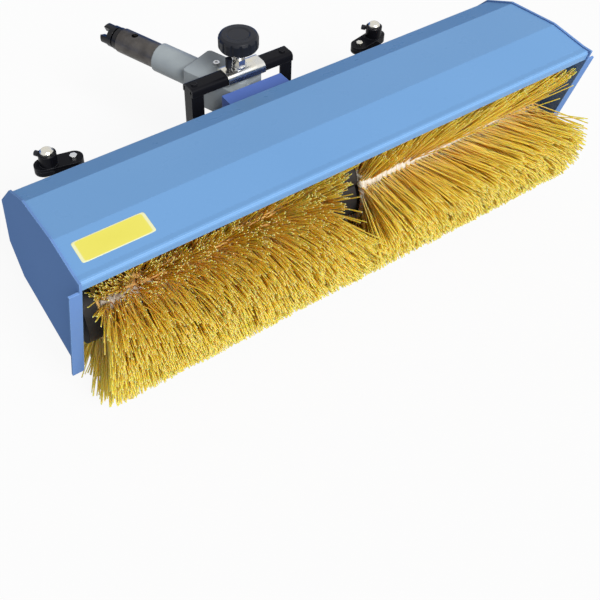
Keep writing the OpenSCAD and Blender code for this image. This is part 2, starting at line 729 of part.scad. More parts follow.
lock_hole_share = 0.66;
module coupling_tube() color(dark_steel) placed() on_head() difference() {
    rotate([-90, 0, 0]) {
        translate([0, 0, head_len - tube_seat]) ring(spigot_d, tube_bore, tube_seat + overrun);
        translate([0, 0, head_len]) ring(tube_d, tube_bore, tube_len);
    }
    translate([0, head_len + tube_len * lock_hole_share, 0]) cylinder(d = lock_d, h = tube_d);
}
module input_bearings() color(bright_steel) placed() on_head()
    for (y = [head_len - tube_seat, tube_end - bearing_w]) translate([0, y, 0]) rotate([-90, 0, 0])
        ring(tube_bore - 2 * run_fit, drive_d + 2 * run_fit, bearing_w);
module input_shaft() color(bright_steel) placed() on_head() rotate([-90, 0, 0])
    translate([0, 0, claw_face]) cylinder(d = drive_d, h = dog_start + dog_collar - claw_face);

dog_collar_d = 48;
dog_waist = 36;
dog_jaw_hole = 18;
dog_jaw_angle = 44;
module on_dog() on_head() rotate([-90, 0, 0]) translate([0, 0, dog_start]) children();
module drive_dog() color(black) placed() on_dog() difference() {
    union() {
        cylinder(d = dog_collar_d, h = dog_collar);
        cylinder(d = dog_waist, h = dog_end - dog_start - dog_jaw);
        translate([0, 0, dog_collar + dog_groove]) cylinder(d = dog_d, h = dog_body + dog_jaw);
    }
    translate([0, 0, -overrun]) cylinder(d = drive_d + 2 * run_fit, h = dog_collar + overrun);
    translate([0, 0, dog_end - dog_start - dog_jaw]) {
        cylinder(d = dog_jaw_hole, h = dog_jaw + overrun);
        for (i = [0 : dog_jaws - 1]) rotate((i + 0.5) * 360 / dog_jaws)
            wedge(360 / dog_jaws - dog_jaw_angle, dog_d / 2, dog_jaw + overrun);
    }
}

// Castor brackets: a flange bolted to the skirt carries the plate under each castor sleeve
arm_w = 36;
arm_t = 10;
arm_top = lower_low;
arm_low = arm_top - arm_t;
arm_turn = 12;
arm_bolt = 8;
arm_bolt_gap = 30;
arm_bolt_down = 52;
arm_flange_w = 64;
arm_flange_t = 6;
arm_flange_start = 38;
arm_flange_end = 95;
arm_nut_h = 6;
arm_rib_t = 6;

sleeve_d = 34;
sleeve_h = 30;
sleeve_top = arm_top + sleeve_h;
sleeve_plate_t = 6;
sleeve_in = 46;
sleeve_out = 10;
sleeve_bolt = 8;
thumb_drop = 9;
thumb_z = sleeve_top - thumb_drop;
thumb_angle = 123;
thumb_d = 6;
thumb_head = 11;
thumb_head_h = 8;
thumb_shank = 10;
arm_x = castor_out - sleeve_in / 2;

// Places a piece on the right bracket: its own +X runs out along the plate from the castor's axis
module on_arm() translate([castor_out, castor_back, 0]) rotate([0, 0, arm_turn]) children();
// The seats of the bolts on the flange, with +Z square to the skirt and out from it
module arm_bolts_at() for (side = [-1, 1]) let (seat = on_skirt(arm_bolt_down, arm_flange_t))
    translate([arm_x + side * arm_bolt_gap / 2, seat[0], seat[1]]) rotate([skirt_slope, 0, 0]) children();

module slot_plate(inner, outer, width, thickness) linear_extrude(thickness) {
    translate([-inner, -width / 2]) square([inner + outer, width]);
    for (x = [-inner, outer]) translate([x, 0]) circle(d = width);
}

module arm() difference() {
    union() {
        on_arm() translate([0, 0, arm_low]) slot_plate(sleeve_in, sleeve_out, arm_w, arm_t);
        translate([castor_out - sleeve_in, 0, arm_low]) cube([sleeve_in, castor_back, arm_t]);
        profile_x(arm_x - arm_flange_w / 2, arm_flange_w) polygon([
            on_skirt(arm_flange_start, 0), on_skirt(arm_flange_start, arm_flange_t),
            on_skirt(arm_flange_end, arm_flange_t), on_skirt(arm_flange_end, 0)]);
        profile_x(arm_x - arm_rib_t / 2, arm_rib_t) polygon([
            on_skirt(arm_flange_start, 0), on_skirt(arm_flange_start, arm_flange_t),
            [castor_back - sleeve_d, arm_top], on_skirt(arm_flange_end, 0)]);
    }
    profile_x(arm_x - arm_flange_w, 2 * arm_flange_w) hood_inside();
    on_arm() translate([0, 0, arm_low - overrun]) {
        cylinder(d = stem_d + 2 * run_fit, h = arm_t + 2 * overrun);
        translate([-sleeve_in, 0, 0]) cylinder(d = sleeve_bolt + 2 * run_fit, h = arm_t + 2 * overrun);
    }
    arm_bolts_at() translate([0, 0, -arm_flange_t - overrun])
        cylinder(d = arm_bolt + 2 * run_fit, h = arm_flange_t + 2 * overrun);
}
module left_arm() color(black) placed() mirror([1, 0, 0]) arm();
module right_arm() color(black) placed() arm();

// Each bolt has its nut inside the hood
module arm_bolts() color(zinc) placed() both_sides() arm_bolts_at() {
    hex_bolt(arm_bolt, arm_flange_t + hood_t + arm_nut_h);
    translate([0, 0, -arm_flange_t - hood_t]) rotate([180, 0, 0]) hex_bolt(arm_bolt, 0);
}

module sleeve(thumb) on_arm() difference() {
    union() {
        translate([0, 0, arm_top]) slot_plate(sleeve_in, sleeve_out, arm_w, sleeve_plate_t);
        translate([0, 0, arm_top]) cylinder(d = sleeve_d, h = sleeve_h);
    }
    translate([0, 0, arm_top - overrun])
        cylinder(d = stem_d + 2 * run_fit, h = sleeve_h + 2 * overrun);
    translate([-sleeve_in, 0, arm_top - overrun])
        cylinder(d = sleeve_bolt + 2 * run_fit, h = sleeve_plate_t + 2 * overrun);
    translate([0, 0, thumb_z]) rotate([0, 0, thumb - arm_turn]) rotate([0, 90, 0])
        cylinder(d = thumb_d + 2 * run_fit, h = sleeve_d);
}
// Both screws stand to the same side, so the left one is the right one's place mirrored back
module left_sleeve() color(black) placed() mirror([1, 0, 0]) sleeve(180 - thumb_angle);
module right_sleeve() color(black) placed() sleeve(thumb_angle);
module sleeve_bolts() color(zinc) placed() both_sides() on_arm()
    translate([-sleeve_in, 0, arm_top + sleeve_plate_t]) hex_bolt(sleeve_bolt, sleeve_plate_t + arm_t);

module thumb_screw(x) translate([x, castor_back, thumb_z]) rotate([0, 90, thumb_angle]) {
    translate([0, 0, stem_d / 2 + seat_gap])
        cylinder(d = thumb_d, h = (sleeve_d - stem_d) / 2 + thumb_shank);
    translate([0, 0, sleeve_d / 2 + thumb_shank - thumb_head_h])
        cylinder(d = thumb_head, h = thumb_head_h);
}
module left_thumb_screw() color(black) placed() thumb_screw(-castor_out);
module right_thumb_screw() color(black) placed() thumb_screw(castor_out);

// Castors
stem_out = 8;
stem_top = sleeve_top + stem_out;
stem_round = 3;
crown_t = 6;
crown_d = 52;
race_h = 8;
tyre_clear = 6;
crown_low = wheel_d + tyre_clear;
fork_top = crown_low + crown_t;
fork_t = 4;
fork_gap = 3;
axle_d = 10;
axle_eye_d = 26;
rim_share = 0.74;
rim_d = rim_share * wheel_d;
web_share = 0.2;
web_out_share = 0.4;
lip_in_share = 0.42;
rim_w_share = 0.42;
tyre_round = 6;

module stem() translate([castor_out, castor_back, fork_top + seat_gap]) rotate_extrude() polygon([
    [0, 0], [crown_d / 2, 0], [crown_d / 2, race_h], [stem_d / 2, race_h],
    [stem_d / 2, stem_top - fork_top - seat_gap - stem_round],
    [stem_d / 2 - stem_round, stem_top - fork_top - seat_gap], [0, stem_top - fork_top - seat_gap]]);
module left_stem() color(zinc) placed() mirror([1, 0, 0]) stem();
module right_stem() color(zinc) placed() stem();

module on_axle() translate([castor_out, castor_back + trail, wheel_d / 2]) rotate([0, 90, 0]) children();
fork_in = wheel_w / 2 + fork_gap;

module fork_cheek() profile_x(castor_out + fork_in, fork_t) {
    polygon([[castor_back - crown_d / 2, fork_top], [castor_back + crown_d / 2, fork_top],
        [castor_back + trail + axle_eye_d / 2, wheel_d / 2],
        [castor_back + trail - axle_eye_d / 2, wheel_d / 2]]);
    translate([castor_back + trail, wheel_d / 2]) circle(d = axle_eye_d);
}
module fork() difference() {
    union() {
        fork_cheek();
        translate([2 * castor_out, 0, 0]) mirror([1, 0, 0]) fork_cheek();
        translate([castor_out - fork_in, castor_back - crown_d / 2, crown_low])
            cube([2 * fork_in, crown_d, crown_t]);
    }
    on_axle() translate([0, 0, -wheel_w]) cylinder(d = axle_d + 2 * run_fit, h = 2 * wheel_w);
}
module left_fork() color(zinc) placed() mirror([1, 0, 0]) fork();
module right_fork() color(zinc) placed() fork();

module axle() on_axle() translate([0, 0, fork_in + fork_t]) {
    hex_bolt(axle_d, 2 * (fork_in + fork_t));
    translate([0, 0, -2 * (fork_in + fork_t)]) rotate([180, 0, 0]) hex_bolt(axle_d, axle_d / 2);
}
module left_axle() color(zinc) placed() mirror([1, 0, 0]) axle();
module right_axle() color(zinc) placed() axle();

// One half of the rim's outline, from its hub out to its seat for the tyre
rim_half = [[axle_d / 2 + run_fit, wheel_w / 2 + fork_gap / 2], [axle_d, wheel_w / 2 + fork_gap / 2],
    [axle_d, wheel_w * web_share], [rim_d * web_out_share, wheel_w * web_share],
    [rim_d * lip_in_share, wheel_w * rim_w_share], [rim_d / 2, wheel_w * rim_w_share]];
module rim() on_axle() rotate_extrude()
    polygon(concat(rim_half, [for (p = reversed(rim_half)) [p[0], -p[1]]]));
module left_wheel() color(cast_grey) placed() mirror([1, 0, 0]) rim();
module right_wheel() color(cast_grey) placed() rim();

module tyre() on_axle() rotate_extrude() difference() {
    rounded([wheel_d, wheel_w], tyre_round);
    translate([-wheel_d, -wheel_w]) square([wheel_d + rim_d / 2 + run_fit, 2 * wheel_w]);
}
module left_tyre() color(black) placed() mirror([1, 0, 0]) tyre();
module right_tyre() color(black) placed() tyre();

hood_shell();
left_end_plate();
right_end_plate();
mount_box();
frame_top_bar();
frame_left_leg();
frame_right_leg();
frame_lower_bar();
frame_screws();
frame_bolts();
clamp_saddle();
lower_pivot();
gear_case_left();
gear_case_right();
case_bolts();
brush_bearings();
shaft_seals();
neck_tube();
neck_bolts();
worm_bearings();
brush_shaft();
worm_wheel();
left_drum();
right_drum();
left_bristles();
right_bristles();
drum_washers();
drum_bolts();
worm_shaft();
front_claw();
swivel_housing();
housing_plug();
coupling_tube();
input_bearings();
input_shaft();
rear_claw();
drive_dog();
clamp_washer();
clamp_spindle();
clamp_nut();
clamp_knob();
lock_screw();
left_arm();
right_arm();
arm_bolts();
left_sleeve();
right_sleeve();
sleeve_bolts();
left_thumb_screw();
right_thumb_screw();
left_stem();
right_stem();
left_fork();
right_fork();
left_axle();
right_axle();
left_wheel();
right_wheel();
left_tyre();
right_tyre();
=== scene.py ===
# %% [markdown]
# # A power brush sweeper, dressed
# The CAD frame already holds every rigid piece at its real size. This lesson gives each of them a
# finish, grows the thousands of bristles that the CAD model only hints at, and sets up the studio.
# All lengths are metres. +X runs along the brush, +Y points back to the tractor, +Z is up.

# %% Load the frame
import json
import math

import bpy
import numpy as np
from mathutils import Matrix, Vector


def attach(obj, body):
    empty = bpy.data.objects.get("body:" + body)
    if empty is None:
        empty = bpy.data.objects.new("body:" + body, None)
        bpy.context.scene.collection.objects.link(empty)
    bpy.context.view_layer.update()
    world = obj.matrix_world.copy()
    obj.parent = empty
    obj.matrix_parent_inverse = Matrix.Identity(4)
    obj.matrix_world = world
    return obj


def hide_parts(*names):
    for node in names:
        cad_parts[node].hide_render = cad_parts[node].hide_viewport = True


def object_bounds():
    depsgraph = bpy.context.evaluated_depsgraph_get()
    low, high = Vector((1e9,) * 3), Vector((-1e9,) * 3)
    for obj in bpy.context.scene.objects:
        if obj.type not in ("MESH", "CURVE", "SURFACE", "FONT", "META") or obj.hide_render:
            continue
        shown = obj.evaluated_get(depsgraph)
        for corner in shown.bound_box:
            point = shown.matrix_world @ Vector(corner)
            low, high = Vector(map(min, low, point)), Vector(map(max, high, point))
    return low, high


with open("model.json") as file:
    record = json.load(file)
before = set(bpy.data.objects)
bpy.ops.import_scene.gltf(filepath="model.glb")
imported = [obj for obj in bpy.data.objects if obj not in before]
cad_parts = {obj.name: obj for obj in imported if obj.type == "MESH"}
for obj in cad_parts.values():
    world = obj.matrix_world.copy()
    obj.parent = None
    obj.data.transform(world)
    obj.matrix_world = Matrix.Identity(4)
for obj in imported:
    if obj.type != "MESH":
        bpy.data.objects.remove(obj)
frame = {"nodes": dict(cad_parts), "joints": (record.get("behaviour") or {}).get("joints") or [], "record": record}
cad_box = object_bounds()
scene = bpy.context.scene
scene.view_settings.view_transform = "Standard"
print("CAD box", [round(v, 4) for corner in cad_box for v in corner])

# %% [markdown]
# ## The camera
# The photograph looks down on the sweeper from its front left corner. Its focal length, height and
# turn were worked out from the hood's straight folds. The picture was cropped off-centre, so the
# lens is shifted by the same share of the frame instead of being turned, which keeps the fold lines
# converging as they do in the photograph.

# %% Camera
picture_size = 600
focal_pixels = 941.04
optical_centre = (261.08, 174.11)
camera_place = Vector((-0.76426, -1.179037, 1.318775))
camera_pitch = math.radians(42.015)
camera_yaw = math.radians(33.433)
sensor_width = 36

camera_data = bpy.data.cameras.new("camera")
camera_data.sensor_width = sensor_width
camera_data.lens = focal_pixels / picture_size * sensor_width
camera_data.shift_x = 0.5 - optical_centre[0] / picture_size
camera_data.shift_y = optical_centre[1] / picture_size - 0.5
camera = bpy.data.objects.new("camera", camera_data)
camera.location = camera_place
camera.rotation_euler = (math.pi / 2 - camera_pitch, 0, -camera_yaw)
scene.collection.objects.link(camera)
scene.camera = camera
print("lens", round(camera_data.lens, 2), "mm")

# %% [markdown]
# ## Mesh helpers
# A surface is a grid of points worked out as whole numpy arrays. One helper puts points and faces into
# a mesh, one lists the faces of a grid, and one stores a number per point for a material to read.


# %% Mesh helpers
def add_mesh(name, points, faces, material, smooth=True):
    """Puts points (n x 3) and faces (lists of indices) into a new object at the origin."""
    mesh = bpy.data.meshes.new(name)
    mesh.from_pydata(points.tolist(), [], faces)
    mesh.polygons.foreach_set("use_smooth", np.full(len(mesh.polygons), smooth))
    mesh.update()
    mesh.materials.append(material)
    piece = bpy.data.objects.new(name, mesh)
    scene.collection.objects.link(piece)
    return piece


def grid_faces(rows, columns, close_rows=False, close_columns=False):
    """Quads of a grid of rows x columns points, wrapped round where a direction closes."""
    i = np.arange(rows if close_rows else rows - 1)
    j = np.arange(columns if close_columns else columns - 1)
    i, j = [a.ravel() for a in np.meshgrid(i, j, indexing="ij")]
    i_next, j_next = (i + 1) % rows, (j + 1) % columns
    corners = [i * columns + j, i * columns + j_next, i_next * columns + j_next, i_next * columns + j]
    return np.stack(corners, axis=1).tolist()


def set_attribute(piece, name, values):
    """Stores one number per point of a mesh."""
    attribute = piece.data.attributes.new(name, "FLOAT", "POINT")
    attribute.data.foreach_set("value", values.astype(np.float32))


# %% [markdown]
# ## Material helpers
# A material starts from a Principled shader and gets its pattern from noise on Object coordinates,
# which stay with the piece from every side. The noise drives a drift of colour, an uneven gloss or a
# fine bump.

# %% Material helpers
noise_range = (0.3, 0.7)


def new_material(name, colour, roughness, metallic=0.0):
    """A Principled material whose constant values sit on the shader's own sockets."""
    material = bpy.data.materials.new(name)
    material.use_nodes = True
    shader = material.node_tree.nodes["Principled BSDF"]
    shader.inputs["Base Color"].default_value = (*colour, 1)
    shader.inputs["Roughness"].default_value = roughness
    shader.inputs["Metallic"].default_value = metallic
    return material, shader


def add_node(owner, kind, **values):
    """A node of a material or world, with its inputs or properties set by name."""
    node = owner.node_tree.nodes.new(kind)
    for key, value in values.items():
        if key in node.inputs:
            node.inputs[key].default_value = value
        else:
            setattr(node, key, value)
    return node


def link(owner, source, target):
    """Joins the output of one node to the input of another."""
    owner.node_tree.links.new(source, target)


def object_noise(material, scale, detail=3.0, stretch=(1, 1, 1)):
    """Noise on Object coordinates. Stretch below 1 draws the grain out along that axis."""
    place = add_node(material, "ShaderNodeTexCoord")
    mapping = add_node(material, "ShaderNodeMapping", Scale=stretch)
    noise = add_node(material, "ShaderNodeTexNoise", Scale=scale, Detail=detail)
    link(material, place.outputs["Object"], mapping.inputs["Vector"])
    link(material, mapping.outputs["Vector"], noise.inputs["Vector"])
    return noise.outputs["Fac"]


def ramp(material, source, stops):
    """A colour ramp: stops are (place, colour) pairs."""
    node = add_node(material, "ShaderNodeValToRGB")
    elements = node.color_ramp.elements
    while len(elements) < len(stops):
        elements.new(0.5)
    for element, (place, colour) in zip(elements, stops):
        element.position = place
        element.color = (*colour, 1)
    link(material, source, node.inputs["Fac"])
    return node.outputs["Color"]


def map_range(owner, source, from_range=(0.0, 1.0), to_range=(0.0, 1.0)):
    """Maps one range of a value onto another and holds the result within it."""
    node = add_node(owner, "ShaderNodeMapRange")
    for key, value in zip(("From Min", "From Max", "To Min", "To Max"), (*from_range, *to_range)):
        node.inputs[key].default_value = value
    link(owner, source, node.inputs["Value"])
    return node.outputs["Result"]


def colour_drift(material, colours, scale, detail=3.0, places=noise_range):
    """Two close colours that drift into each other, at the given places of a noise."""
    return ramp(material, object_noise(material, scale, detail), list(zip(places, colours)))


def uneven_gloss(material, shader, noise, roughness, shares):
    """Roughness that follows a noise, from one share of its mean to another."""
    reach = [roughness * share for share in shares]
    link(material, map_range(material, noise, noise_range, reach), shader.inputs["Roughness"])


def rounded_edges(material, shader, radius, height, depth):
    """Rounds hard edges in the shading, with a fine bump of the given depth on top."""
    edge = add_node(material, "ShaderNodeBevel", samples=4, Radius=radius)
    bump = add_node(material, "ShaderNodeBump", Distance=depth)
    link(material, height, bump.inputs["Height"])
    link(material, edge.outputs["Normal"], bump.inputs["Normal"])
    link(material, bump.outputs["Normal"], shader.inputs["Normal"])


# %% [markdown]
# ## Paints
# Powder coat has the orange peel of sprayed paint, and a paler colour on the folds of the sheet is a
# painted highlight. The grey paint of the swivel lies over the sand grain of a casting.

# %% Paints
fold_radius = 0.0013
fold_likeness = (0.998, 0.93)


def painted_fold_highlights(material, colour, fold_highlight_colour):
    """Painted highlight on the folds: where the rounded normal leaves the flat one, by their dot product, a paler
    colour is mixed in.
    """
    edge = add_node(material, "ShaderNodeBevel", samples=6, Radius=fold_radius)
    flat = add_node(material, "ShaderNodeNewGeometry")
    likeness = add_node(material, "ShaderNodeVectorMath", operation="DOT_PRODUCT")
    link(material, edge.outputs["Normal"], likeness.inputs[0])
    link(material, flat.outputs["True Normal"], likeness.inputs[1])
    mixed = add_node(material, "ShaderNodeMix", data_type="RGBA")
    link(material, map_range(material, likeness.outputs["Value"], fold_likeness), mixed.inputs["Factor"])
    link(material, colour, mixed.inputs["A"])
    mixed.inputs["B"].default_value = (*fold_highlight_colour, 1)
    return mixed.outputs["Result"]


def powder_coat(name, colours, roughness, gloss, fold_highlight_colour=None):
    """Sprayed paint: a slow drift between two close colours, a fine orange peel and, where a fold highlight colour
    is given, a painted highlight on the folds.
    """
    material, shader = new_material(name, colours[0], roughness)
    colour = colour_drift(material, colours, scale=3.0, detail=2.0)
    # Painted highlight: the folds of the sheet get a paler colour.
    if fold_highlight_colour is not None:
        colour = painted_fold_highlights(material, colour, fold_highlight_colour)
    link(material, colour, shader.inputs["Base Color"])
    uneven_gloss(material, shader, object_noise(material, 25.0), roughness, (0.96, 1.06))
    shader.inputs["Specular IOR Level"].default_value = gloss
    peel = object_noise(material, 260.0, detail=1.0)
    rounded_edges(material, shader, radius=0.0012, height=peel, depth=0.00012)
    return material


def cast_paint(name):
    """Grey paint over a sand casting: grainy bump and a little grime in the colour."""
    material, shader = new_material(name, (0.28, 0.31, 0.33), 0.45)
    greys = [(0.25, 0.28, 0.30), (0.31, 0.345, 0.36)]
    grime = colour_drift(material, greys, scale=18.0, detail=6.0, places=(0.25, 0.7))
    link(material, grime, shader.inputs["Base Color"])
    sand = object_noise(material, 420.0, detail=2.0)
    rounded_edges(material, shader, radius=0.003, height=sand, depth=0.00025)
    return material


# Two colours, roughness, gloss and, for folded sheet, the colour of the painted highlight on the folds.
paints = {
    "hood_blue": ([(0.150, 0.315, 0.580), (0.160, 0.329, 0.597)], 0.28, 0.08, (0.36, 0.56, 0.78)),
    # The end plates' blue is the hood paint made darker and more violet: painted shade.
    "shaded_plate_blue": ([(0.140, 0.258, 0.545), (0.148, 0.270, 0.560)], 0.5, 0.0, (0.22, 0.40, 0.70)),
    # The mount box's blue is darker and more violet than the hood paint: painted shade.
    "shaded_box_blue": ([(0.085, 0.150, 0.440), (0.095, 0.165, 0.460)], 0.35, 0.05, (0.15, 0.28, 0.62)),
    "frame_black": ([(0.005, 0.005, 0.007), (0.008, 0.008, 0.010)], 0.25, 0.06, (0.04, 0.04, 0.045)),
    "drum_black": ([(0.015, 0.014, 0.014), (0.03, 0.028, 0.026)], 0.5, 0.2),
}
finishes = {name: powder_coat(name, *values) for name, values in paints.items()}
finishes["cast_grey"] = cast_paint("cast_grey")
print(len(finishes), "paints")

# %% [markdown]
# ## Metals
# The tint of bare or plated metal drifts, like the yellow passivation on zinc plate. A noise drawn out
# along one axis makes the lines that a lathe or a brush leaves.


# %% Metals
def plated_metal(name, colours, roughness, grain):
    """Bare or plated metal: its tint drifts, and a drawn-out grain breaks up the gloss."""
    material, shader = new_material(name, colours[0], roughness, metallic=1.0)
    tint = colour_drift(material, colours, scale=30.0, places=(0.35, 0.65))
    link(material, tint, shader.inputs["Base Color"])
    streaks = object_noise(material, 180.0, detail=2.0, stretch=grain)
    uneven_gloss(material, shader, streaks, roughness, (0.7, 1.4))
    rounded_edges(material, shader, radius=0.0008, height=streaks, depth=0.00005)
    return material


# Two colours, roughness and the stretch of the grain along x, y and z.
metals = {
    "zinc": ([(0.62, 0.63, 0.64), (0.70, 0.66, 0.55)], 0.24, (0.2, 1, 1)),
    "bright_steel": ([(0.50, 0.50, 0.51), (0.58, 0.58, 0.58)], 0.3, (1, 0.2, 1)),
    "bronze": ([(0.62, 0.42, 0.15), (0.70, 0.50, 0.20)], 0.32, (1, 1, 0.3)),
    "dark_steel": ([(0.066, 0.060, 0.056), (0.115, 0.106, 0.099)], 0.40, (1, 0.08, 1)),
    "black_oxide": ([(0.022, 0.022, 0.024), (0.038, 0.037, 0.037)], 0.28, (1, 0.3, 1)),
}
finishes.update({name: plated_metal(name, *values) for name, values in metals.items()})
print(len(metals), "metals")

# %% [markdown]
# ## Plastics and rubber
# A mould is etched to hide flow marks, so a moulded piece has a fine eroded grain and little gloss.


# %% Plastics and rubber
def moulded(name, colours, roughness, grain_scale, grain_depth):
    """Moulded plastic or rubber with an eroded grain."""
    material, shader = new_material(name, colours[0], roughness)
    shader.inputs["Specular IOR Level"].default_value = 0.2
    link(material, colour_drift(material, colours, scale=14.0), shader.inputs["Base Color"])
    grain = object_noise(material, grain_scale, detail=2.0)
    uneven_gloss(material, shader, grain, roughness, (0.85, 1.15))
    rounded_edges(material, shader, radius=0.001, height=grain, depth=grain_depth)
    return material


# Two colours, roughness, scale and depth of the grain.
plastics = {
    "knob_black": ([(0.012, 0.013, 0.017), (0.018, 0.019, 0.024)], 0.34, 700.0, 0.0001),
    "seal_rubber": ([(0.012, 0.012, 0.012), (0.02, 0.02, 0.02)], 0.6, 500.0, 0.0001),
    "tyre_black": ([(0.018, 0.018, 0.018), (0.03, 0.03, 0.028)], 0.7, 400.0, 0.0002),
    "wheel_grey": ([(0.30, 0.31, 0.33), (0.34, 0.35, 0.37)], 0.45, 500.0, 0.0001),
}
finishes.update({name: moulded(name, *values) for name, values in plastics.items()})
print(len(plastics), "plastics")

# %% [markdown]
# ## A finish for every CAD node
# The record names a material slot for each node, and most finishes bear the name of a slot. A few nodes
# look different from their slot and have a finish of their own.

# %% Finish of every CAD node
# The end plates and the mount box take blues with painted shade in them.
own_finish = {"left_end_plate": "shaded_plate_blue", "right_end_plate": "shaded_plate_blue", "mount_box": "shaded_box_blue",
              "gear_case_left": "drum_black", "gear_case_right": "drum_black"}
slot_of = {row["node"]: row["material_slot"] for row in frame["record"]["subparts"]}
for node_name, node_object in frame["nodes"].items():
    finish = finishes.get(own_finish.get(node_name, slot_of[node_name]))
    if finish is not None:
        node_object.data.materials.clear()
        node_object.data.materials.append(finish)
print("finished", sum(s in finishes for s in slot_of.values()), "of", len(slot_of), "nodes")

# %% [markdown]
# ## The bristles
# The brush is two sleeves set with tufts of golden plastic bristles. One bristle is a straight
# three-sided straw from its hole in the sleeve to its cut tip. A hair system would look right in one
# render, but a mesh keeps every straw as geometry of its own, so all of them are computed at once:
# arrays of root and tip places, then rings of corners on every straw.
# Along one line the bristles part, as hair does, and show their pale roots. Towards both ends of a
# half they fan out, and the inner ends close over the gap in which the gear case hangs.

# %% Sizes of the brush
brush_axis = np.array(next(j for j in frame["joints"] if j["name"] == "brush_spin")["pos_m"])
side_signs = {"left": -1, "right": 1}
sleeve_radius = 0.065
sleeve_wall = 0.003
sleeve_inner = 0.040
floor_clearance = 0.0004
tip_radius = brush_axis[2] - floor_clearance
print("brush axis", brush_axis.round(4), "tips at", round(float(tip_radius), 4))


def around(x, radius, angle):
    """A point of the brush from its place along the axis, its radius and its angle up from the front."""
    x, radius, angle = np.broadcast_arrays(x, radius, angle)
    y = brush_axis[1] - radius * np.cos(angle)
    z = brush_axis[2] + radius * np.sin(angle)
    return np.stack([x, y, z], axis=-1)


# %% [markdown]
# Angles are counted up from the front of the brush. The lean, the fan and the sideways sweep of a
# half were read off the photograph. On top of them come drifts, so that no two straws are parallel:
# some shared by a tuft, some by a whole patch of the sleeve, and some of a straw's own.

# %% Where the bristles stand
bristle_rows = 36
tufts_in_row = 44
bristles_in_tuft = 11
row_offset, tuft_spread = 0.5, 0.5
outer_root = {"left": 0.456, "right": 0.460}
parting_angle = math.radians(36)
upper_lean = {"left": math.radians(5), "right": math.radians(18)}
lower_lean = {"left": math.radians(24), "right": math.radians(28)}
upper_width, lower_width = math.radians(42), math.radians(70)
least_lean_share = {"left": 0.25, "right": 0.76}
flare_out = {"left": 0.062, "right": 0.045}
flare_in = {"left": 0.062, "right": 0.046}
flare_start_share = 0.45
flare_power = 1.6
gap_width = math.radians(19)
outer_limit, outer_ragged = 0.4975, 0.045
inner_limit, inner_ragged = -0.022, 0.050
sweep = {"left": 0.010, "right": 0.055}
sweep_angle, sweep_width = math.radians(46), math.radians(34)
sweep_start, sweep_full = 0.048, 0.168
ruffle = {"left": 1.4, "right": 0.7}
wave_length, waves_round, wave_count = 0.13, 6, 8
angle_drift = {"root": 0.03, "wave": 0.04, "tuft": 0.028, "own": 0.030}
x_drift = {"flare": 0.25, "wave": 0.007, "tuft": 0.006, "own": 0.004}
length_drift = {"tuft": 0.025, "own": 0.035}
least_length = 0.80
stray_share, stray_drift = 0.06, 3.0
undergrowth_share, undergrowth_lengths = 0.18, (0.78, 0.94)


def flare(share, outward, inward):
    """How far a tip leans along +X: nothing in the middle of a half, the full flare at its ends."""
    rise = np.clip((np.abs(share) - flare_start_share) / (1 - flare_start_share), 0, 1) ** flare_power
    return np.where(share > 0, outward, -inward) * rise


def bell(angle, middle, width):
    """A smooth bump round an angle: 1 in its middle, 1/e at its width."""
    return np.exp(-((angle - middle) / width) ** 2)


def combing(x, angle, rng):
    """Two smooth random fields over the sleeve: sums of a few slanting waves, whole ones round it."""
    per_metre = 2 * np.pi * rng.normal(size=(2, wave_count, 1)) / wave_length
    per_turn = np.round(waves_round * rng.normal(size=(2, wave_count, 1)))
    phase = rng.uniform(0, 2 * np.pi, (2, wave_count, 1))
    return np.sin(per_metre * x + per_turn * angle + phase).sum(axis=1) / math.sqrt(wave_count)


